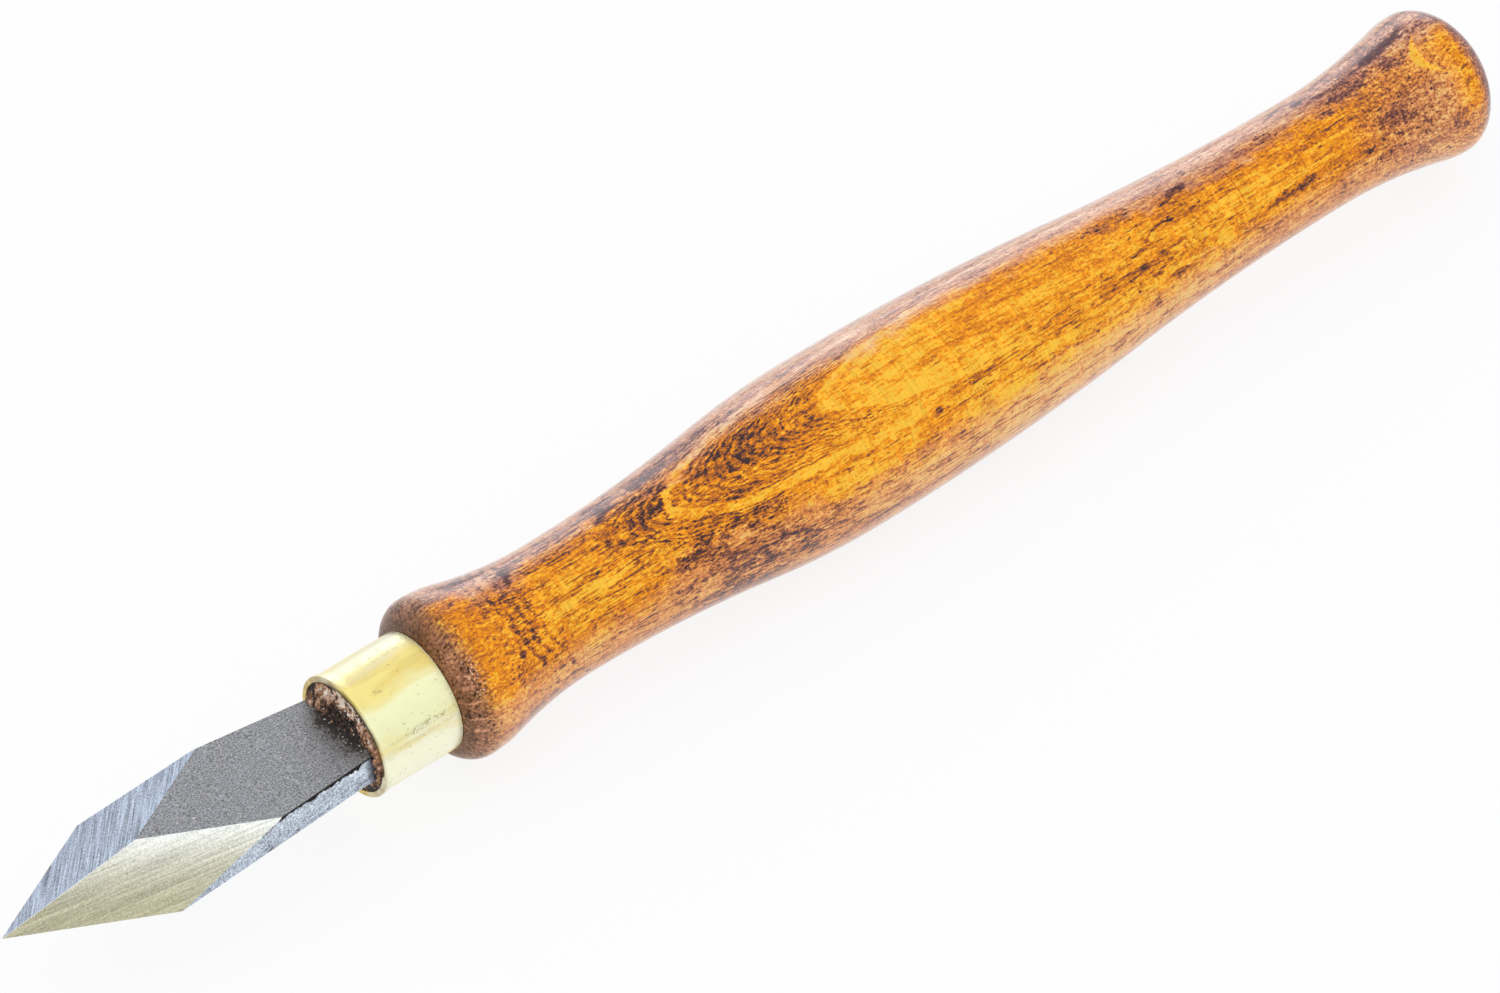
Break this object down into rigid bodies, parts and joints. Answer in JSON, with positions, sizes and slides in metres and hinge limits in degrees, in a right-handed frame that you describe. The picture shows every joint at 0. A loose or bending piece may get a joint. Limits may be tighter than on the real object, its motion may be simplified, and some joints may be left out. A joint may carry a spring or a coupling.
{
  "type": "marking knife",
  "caption": "Marking knife with a bevelled spear-point blade on a flat back, a brass ferrule and a turned beech handle.",
  "frame": {"origin": "on the handle's axis, half way between the point and the butt, which is the centre of the whole box", "axes": "+X along the handle's axis towards the butt, +Z out of the blade's bevelled face, so the flat back faces down"},
  "size_m": [0.1902, 0.0192, 0.0193],
  "materials": {
    "tool_steel": "dark as-forged faces, bright ground bevels and back",
    "bedding": "rough dark brown, crumbly",
    "brass": "satin, lightly tarnished",
    "beech": "amber stain under clear lacquer"
  },
  "bodies": {
    "root": {"blade": "tool_steel", "tang_bedding": "bedding", "ferrule": "brass", "handle": "beech"}
  },
  "joints": []
}
